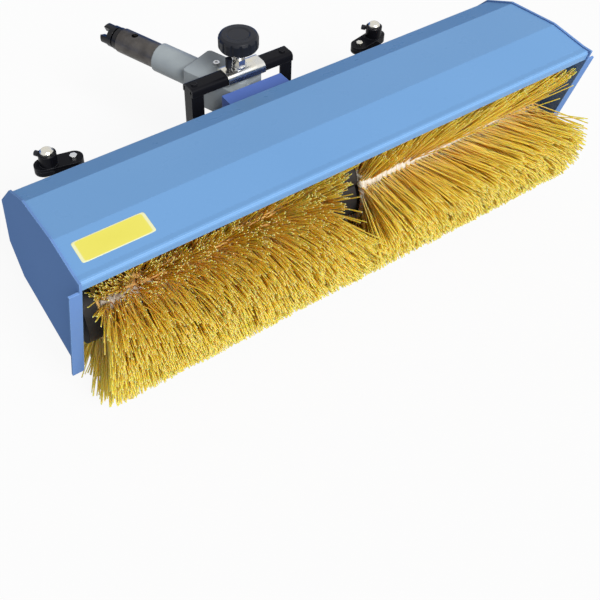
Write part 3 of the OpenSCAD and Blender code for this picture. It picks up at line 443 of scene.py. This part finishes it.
def plant(side_name, side, rng):
    """Root and tip of every bristle of a half: arrays of x, angle up from the front, and length.

    A bristle leans away from the parting, by a bell of its angle from it, and flares towards the ends
    of its half. A few stray further than the rest, and some are shorter: the undergrowth."""
    row, tuft = [a.ravel() for a in np.meshgrid(
        np.arange(bristle_rows), np.repeat(np.arange(tufts_in_row), bristles_in_tuft), indexing="ij")]
    count = row.size
    own = rng.normal(size=(6, count))
    own[2:5] *= np.where(rng.uniform(size=count) < stray_share, stray_drift, 1)
    own_side, own_root, own_angle, own_flare, own_x, own_length = own
    shared = rng.normal(size=(3, bristle_rows * tufts_in_row))[:, row * tufts_in_row + tuft]
    tuft_angle, tuft_x, tuft_length = shared

    root_span = outer_root[side_name] - sleeve_inner
    place = tuft + row_offset * (row % 2) + tuft_spread * rng.uniform(size=count)
    x = sleeve_inner + root_span / tufts_in_row * place
    from_parting = (row * 2 * np.pi / bristle_rows + np.pi) % (2 * np.pi) - np.pi
    away = np.where(row == 0, np.sign(own_side), np.sign(from_parting))
    above = upper_lean[side_name] * bell(from_parting, 0, upper_width)
    below = -lower_lean[side_name] * bell(from_parting, 0, lower_width)
    lean = np.where(away > 0, above, below) * rng.uniform(least_lean_share[side_name], 1.0, count)
    angle = parting_angle + from_parting + angle_drift["root"] * own_root
    wave_angle, wave_x = ruffle[side_name] * combing(x, angle, rng)
    tip_angle = angle + lean + angle_drift["wave"] * wave_angle
    tip_angle += angle_drift["tuft"] * tuft_angle + angle_drift["own"] * own_angle

    swept = sweep[side_name] * bell(angle, sweep_angle, sweep_width)
    swept *= np.clip((x - sleeve_inner - sweep_start) / (sweep_full - sweep_start), 0, 1)
    inward = flare_in[side_name] * (1 - bell(angle, parting_angle, gap_width))
    from_middle = 2 * (x - sleeve_inner) / root_span - 1
    flared = flare(from_middle, flare_out[side_name], inward) * (1 + x_drift["flare"] * own_flare)
    tip_x = x + flared + swept
    tip_x += x_drift["wave"] * wave_x + x_drift["tuft"] * tuft_x + x_drift["own"] * own_x
    tip_x = np.minimum(tip_x, outer_limit - outer_ragged * rng.uniform(size=count))
    tip_x = np.maximum(tip_x, inner_limit + inner_ragged * rng.uniform(size=count))

    length_share = 1 - length_drift["own"] * np.abs(own_length) - length_drift["tuft"] * np.abs(tuft_length)
    shorter = rng.uniform(size=count) < undergrowth_share
    length_share *= np.where(shorter, rng.uniform(*undergrowth_lengths, count), 1)
    return row, side * x, angle, side * tip_x, tip_angle, np.maximum(length_share, least_length)


# %% [markdown]
# A straw needs two rings of corners, at its root and at its tip. The ring at the tip is there twice,
# so that the cut end has corners, and with them a colour, of its own.

# %% From roots and tips to straws
straw_places = np.array([0.0, 1.0, 1.0])
straw_grown = np.array([0.0, 0.97, 1.0])
straw_sides = 3
straw_radius = 0.00120
straw_radius_shares = (0.85, 1.12)
root_sink = 0.002


def straws(x, angle, tip_x, tip_angle, length_share, rng):
    """Corners of every straw (count x rings x sides x 3): small circles on the line from root to tip."""
    root = around(x, sleeve_radius - root_sink, angle)
    reach = sleeve_radius + (tip_radius - sleeve_radius) * length_share
    run = around(tip_x, reach, tip_angle) - root
    along = run / np.linalg.norm(run, axis=1, keepdims=True)
    across = np.cross(along, rng.normal(size=along.shape))
    across /= np.linalg.norm(across, axis=1, keepdims=True)
    third = np.cross(along, across)
    turn = 2 * np.pi * np.arange(straw_sides)[:, None] / straw_sides
    circle = np.cos(turn) * across[:, None] + np.sin(turn) * third[:, None]
    radius = straw_radius * rng.uniform(*straw_radius_shares, (x.size, 1, 1, 1))
    spine = root[:, None] + run[:, None] * straw_places[:, None]
    return spine[:, :, None] + radius * circle[:, None]


def straw_faces(count):
    """Quads between the first two rings of each straw, and one triangle for its cut tip."""
    wall_rings = len(straw_places) - 1
    start = len(straw_places) * straw_sides * np.arange(count)
    wall = np.array(grid_faces(wall_rings, straw_sides, close_columns=True))
    walls = (start[:, None, None] + wall).reshape(-1, 4)
    caps = start[:, None] + wall_rings * straw_sides + np.arange(straw_sides)
    return walls.tolist() + caps.tolist()


# %% [markdown]
# The colour runs from a pale root through amber to a golden tip, and each straw has a tint of its
# own. Both are stored on the mesh as attributes, so the pattern follows every straw whatever its place. The amber
# is partly the plastic's own colour and partly painted shade of the deep parts of the straws.
# Light sinks a little way into the plastic, which softens the shade between the straws.

# %% Bristle finish
# Amber towards the roots: partly the plastic's own colour, partly painted shade among the straws.
bristle_colours = [
    (0.0, (0.95, 0.82, 0.60)), (0.05, (0.95, 0.68, 0.34)), (0.13, (0.96, 0.55, 0.17)),
    (0.40, (1.0, 0.57, 0.10)), (0.75, (1.0, 0.615, 0.085)), (0.92, (1.0, 0.65, 0.09)),
    (0.98, (1.0, 0.74, 0.21))]
bristle_tints = (0.92, 1.0)


def bristle_finish(name):
    """Golden plastic: colour by the place along the straw, lightened or darkened straw by straw."""
    material, shader = new_material(name, (0.8, 0.52, 0.08), 0.36)
    along = add_node(material, "ShaderNodeAttribute", attribute_name="grown")
    tint = add_node(material, "ShaderNodeAttribute", attribute_name="tint")
    mixed = add_node(material, "ShaderNodeMix", data_type="RGBA", blend_type="MULTIPLY")
    mixed.inputs["Factor"].default_value = 1.0
    link(material, ramp(material, along.outputs["Fac"], bristle_colours), mixed.inputs["A"])
    link(material, map_range(material, tint.outputs["Fac"], to_range=bristle_tints), mixed.inputs["B"])
    link(material, mixed.outputs["Result"], shader.inputs["Base Color"])
    shader.inputs["Specular IOR Level"].default_value = 0.14
    shader.inputs["Subsurface Weight"].default_value = 0.85
    shader.inputs["Subsurface Radius"].default_value = (1.0, 0.6, 0.2)
    shader.inputs["Subsurface Scale"].default_value = 0.006
    return material


bristle_gold = bristle_finish("bristle_gold")
print("bristle colours", len(bristle_colours))

# %% [markdown]
# Each half is grown at once and then cut into three bands of rows, which keeps the meshes handy.

# %% Grow both halves
band_names = ("upper", "rear", "lower")
band_rows = bristle_rows // len(band_names)
seeds = {"left": 70, "right": 72}


def add_straws(name, corners, tints):
    """One mesh of straws with its two attributes."""
    count, rings, corners_in_ring = corners.shape[:3]
    piece = add_mesh(name, corners.reshape(-1, 3), straw_faces(count), bristle_gold)
    set_attribute(piece, "grown", np.repeat(np.tile(straw_grown, count), corners_in_ring))
    set_attribute(piece, "tint", np.repeat(tints, rings * corners_in_ring))
    return piece


for side_name, side in side_signs.items():
    rng = np.random.default_rng(seeds[side_name])
    row, x, angle, tip_x, tip_angle, length_share = plant(side_name, side, rng)
    corners = straws(x, angle, tip_x, tip_angle, length_share, rng)
    tints = rng.uniform(size=x.size)
    for band, band_name in enumerate(band_names):
        chosen = row // band_rows == band
        piece = add_straws(f"{side_name}_bristles_{band_name}", corners[chosen], tints[chosen])
        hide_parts(f"{side_name}_bristles")
        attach(piece, "brush")
        print(piece.name, int(chosen.sum()), "straws")

# %% [markdown]
# ## The sleeves
# Between the roots an amber sleeve shows. Its section is a thin rectangle, carried round the axis.

# %% Sleeves under the bristles
sleeve_margin = 0.004
sleeve_steps = 96


def sleeve_finish(name):
    """Amber plastic, dusted with a paler tone."""
    material, shader = new_material(name, (0.85, 0.52, 0.14), 0.6)
    ambers = [(0.80, 0.46, 0.12), (0.94, 0.60, 0.18)]
    dust = colour_drift(material, ambers, scale=40.0, detail=5.0, places=(0.35, 0.7))
    link(material, dust, shader.inputs["Base Color"])
    return material


amber_sleeve = sleeve_finish("amber_sleeve")
for side_name, side in side_signs.items():
    turn = np.linspace(0, 2 * np.pi, sleeve_steps, endpoint=False)
    inner, outer = sleeve_inner, outer_root[side_name] + sleeve_margin
    bore = sleeve_radius - sleeve_wall
    profile_x = side * np.array([inner, outer, outer, inner])
    profile_r = np.array([sleeve_radius, sleeve_radius, bore, bore])
    points = around(profile_x[:, None], profile_r[:, None], turn)
    faces = grid_faces(len(profile_x), len(turn), close_rows=True, close_columns=True)
    if side > 0:
        faces = [face[::-1] for face in faces]
    piece = add_mesh(f"{side_name}_brush_sleeve", points.reshape(-1, 3), faces, amber_sleeve, smooth=False)
    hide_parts(f"{side_name}_bristles")
    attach(piece, "brush")
    print(piece.name, round(outer - inner, 3), "long")

# %% [markdown]
# ## The pale roots
# Where the bristles part, the folded ends of the tufts lie bare, a pale row that looks like a twisted
# cord. The same row closes the inner end of each half. Both are one tube carried along a path, whose
# radius swells and shrinks round the tube and along it, which is what a twist of strands does.

# %% Cords of bare tuft roots
root_pitch = 0.011
root_swell = 0.30
root_high, root_wide = 0.0064, 0.0105
root_steps = 12
parting_steps, end_steps = 300, 240
parting_sizes = (1.0, 0.25)
parting_span = {"left": (outer_root["left"], 0.365), "right": (sleeve_inner, 0.38)}


def pale_root_finish(name):
    """Cream plastic whose tone drifts at random between a darker tan and a paler cream."""
    material, shader = new_material(name, (0.85, 0.68, 0.45), 0.5)
    creams = [(0.46, 0.39, 0.27), (0.62, 0.60, 0.53)]
    strands = colour_drift(material, creams, scale=160.0, places=(0.3, 0.6))
    link(material, strands, shader.inputs["Base Color"])
    return material


def root_cord(name, path, up, aside, size, closed):
    """A tube along path: at turn v and length s its radius is size * (1 + swell * cos(2 v + twist * s))."""
    step = np.linalg.norm(np.diff(path, axis=0), axis=1)
    twist = 2 * np.pi * np.concatenate([[0], np.cumsum(step)])[:, None] / root_pitch
    v = np.linspace(0, 2 * np.pi, root_steps, endpoint=False)[None]
    radius = size[:, None] * (1 + root_swell * np.cos(2 * v + twist))
    points = (path[:, None] + (radius * root_high * np.cos(v))[..., None] * up[:, None]
              + (radius * root_wide * np.sin(v))[..., None] * aside[:, None])
    rows, columns = radius.shape
    faces = grid_faces(rows, columns, close_rows=closed, close_columns=True)
    if not closed:
        first = list(range(columns))
        faces += [first[::-1], [(rows - 1) * columns + j for j in first]]
    piece = add_mesh(name, points.reshape(-1, 3), faces, pale_root)
    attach(piece, "brush")
    print(name, len(faces), "faces")


pale_root = pale_root_finish("pale_root")
for side_name, side in side_signs.items():
    x = np.linspace(*parting_span[side_name], parting_steps)
    turn = np.full(x.size, parting_angle)
    outward = around(0, 1, turn) - around(0, 0, turn)
    onward = np.cross([1.0, 0, 0], outward) * np.sign(side * (x[-1] - x[0]))
    path = around(side * x, sleeve_radius + root_high / 2, turn)
    size = np.linspace(*parting_sizes, x.size)
    root_cord(f"{side_name}_parting_cord", path, outward, onward, size, closed=False)
    turn = np.linspace(0, 2 * np.pi, end_steps, endpoint=False)
    outward = around(0, 1, turn) - around(0, 0, turn)
    sideways = np.tile([1.0, 0, 0], (turn.size, 1)) * root_high / root_wide
    path = around(side * (sleeve_inner + root_high), sleeve_radius, turn)
    root_cord(f"{side_name}_end_cord", path, outward, sideways, np.ones(turn.size), closed=True)

# %% [markdown]
# ## The plain sticker
# A blank yellow sticker with a paler rim lies on the front panel, near the left end. It is a disc in
# polar form: rings that grow from its middle to a rounded rectangle. Two rays cast down on the hood
# find the slope of the panel, so that the sticker lies on it.

# %% Sticker on the front panel
sticker_x = (-0.482, -0.365)
sticker_y = (brush_axis[1] - 0.088, brush_axis[1] - 0.047)
sticker_squareness = 20.0
sticker_thick = 0.0004
sticker_rings = np.array([0.02, 0.5, 0.88, 0.94, 0.985, 1.0, 1.0])
sticker_lift = np.array([1, 1, 1, 1, 1, 0.6, -1.0]) * sticker_thick
sticker_steps = 96
sticker_roughness = (0.30, 0.42)
ray_height = 1.0


def panel_point(x, y):
    """The point of the hood straight below the place x, y."""
    hood = frame["nodes"]["hood_shell"]
    return np.array(hood.ray_cast(Vector((x, y, ray_height)), Vector((0, 0, -1)))[1])


def sticker_finish(name):
    """Yellow film, its rim paler, with a faint unevenness of the print."""
    material, shader = new_material(name, (0.68, 0.62, 0.09), 0.35)
    rim = add_node(material, "ShaderNodeAttribute", attribute_name="rim")
    yellows = [(0.0, (0.68, 0.62, 0.09)), (0.90, (0.70, 0.64, 0.10)), (0.94, (0.72, 0.72, 0.42))]
    link(material, ramp(material, rim.outputs["Fac"], yellows), shader.inputs["Base Color"])
    film = map_range(material, object_noise(material, 60.0), noise_range, sticker_roughness)
    link(material, film, shader.inputs["Roughness"])
    return material


low, high = [panel_point(np.mean(sticker_x), y) for y in sticker_y]
half_x, half_up = (sticker_x[1] - sticker_x[0]) / 2, (high - low) / 2
outward = np.cross([1.0, 0, 0], half_up / np.linalg.norm(half_up))
turn = np.linspace(0, 2 * np.pi, sticker_steps, endpoint=False)
power = sticker_squareness
reach = (np.abs(np.cos(turn)) ** power + np.abs(np.sin(turn)) ** power) ** (-1 / power)
across = np.cos(turn)[:, None] * [half_x, 0, 0] + np.sin(turn)[:, None] * half_up
points = ((low + high) / 2 + (sticker_rings[:, None] * reach)[..., None] * across
          + sticker_lift[:, None, None] * outward)
faces = grid_faces(len(sticker_rings), len(turn), close_columns=True)
faces = [face[::-1] for face in faces] + [list(range(len(turn)))]
sticker = add_mesh("front_sticker", points.reshape(-1, 3), faces, sticker_finish("sticker_yellow"))
set_attribute(sticker, "rim", np.repeat(sticker_rings, len(turn)))
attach(sticker, "chassis")
print("sticker", round(2 * half_x, 3), "x", round(2 * float(np.linalg.norm(half_up)), 3))

# %% [markdown]
# ## The studio
# A pale floor, one broad soft sun from the front and an even white surround. The camera sees the
# surround and the floor as white, and so do mirrors of metal, while the light on the object stays at
# the level where a colour renders about as it is written. Behind the sweeper a dark blue cove stands
# where only reflections meet it: without it the glossy rear strip of the hood would mirror nothing
# but white and lose its colour.

# %% Floor and cove
floor_half, floor_drop = 8.0, 0.0005
floor_glow = 0.92
cove_y, cove_high, cove_half = (0.9, 2.4), 1.35, 6.0
cove_steps = 12


def seen_share(owner):
    """1 for a ray from the camera, from a mirror or through glass, and 0 for all other light."""
    path = add_node(owner, "ShaderNodeLightPath")
    share = path.outputs["Is Camera Ray"]
    for kind in ("Is Glossy Ray", "Is Transmission Ray"):
        either = add_node(owner, "ShaderNodeMath", operation="MAXIMUM")
        link(owner, share, either.inputs[0])
        link(owner, path.outputs[kind], either.inputs[1])
        share = either.outputs[0]
    return share


def floor_finish(name):
    """Matt grey that takes the object's shadow, mixed with a plain glow where it is seen."""
    material, shader = new_material(name, (0.62, 0.62, 0.62), 0.8)
    shader.inputs["Specular IOR Level"].default_value = 0.0
    glow = add_node(material, "ShaderNodeEmission", Strength=1.0)
    blend = add_node(material, "ShaderNodeMixShader")
    glow_share = map_range(material, seen_share(material), to_range=(0.0, floor_glow))
    link(material, glow_share, blend.inputs["Fac"])
    link(material, shader.outputs[0], blend.inputs[1])
    link(material, glow.outputs[0], blend.inputs[2])
    link(material, blend.outputs[0], material.node_tree.nodes["Material Output"].inputs["Surface"])
    return material


floor_z = cad_box[0][2] - floor_drop
floor_ends = (-floor_half, floor_half)
floor_points = np.array([(x, y, floor_z) for y in floor_ends for x in floor_ends])
floor = add_mesh("floor", floor_points, [[0, 1, 3, 2]], floor_finish("pale_floor"), smooth=False)

bend = np.linspace(0, np.pi / 2, cove_steps)
profile_y = cove_y[0] + (cove_y[1] - cove_y[0]) * np.sin(bend)
profile_z = cove_high * (1 - np.cos(bend))
cove_points = np.concatenate([
    np.stack([np.full(cove_steps, x), profile_y, profile_z], axis=1) for x in (-cove_half, cove_half)])
cove_material = new_material("dusk_cove", (0.03, 0.11, 0.36), 0.9)[0]
cove = add_mesh("dusk_cove", cove_points, grid_faces(2, cove_steps), cove_material)
cove.visible_camera = cove.visible_diffuse = cove.visible_shadow = cove.visible_transmission = False
print("floor at", round(floor_z, 4))

# %% Sun and surround
sun_direction = Vector((0.0, -0.74, 0.67))
sun_energy = 3.8
sun_angle = math.radians(28)
surround_light = (0.32, 1.0)

sun_data = bpy.data.lights.new("soft_sun", "SUN")
sun_data.energy = sun_energy
sun_data.angle = sun_angle
sun = bpy.data.objects.new("soft_sun", sun_data)
sun.rotation_euler = sun_direction.to_track_quat("Z", "Y").to_euler()
scene.collection.objects.link(sun)

world = bpy.data.worlds.new("surround")
world.use_nodes = True
scene.world = world
surround = world.node_tree.nodes["Background"]
surround.inputs["Color"].default_value = (1, 1, 1, 1)
link(world, map_range(world, seen_share(world), to_range=surround_light), surround.inputs["Strength"])
print("sun", sun_energy, "surround", surround_light)
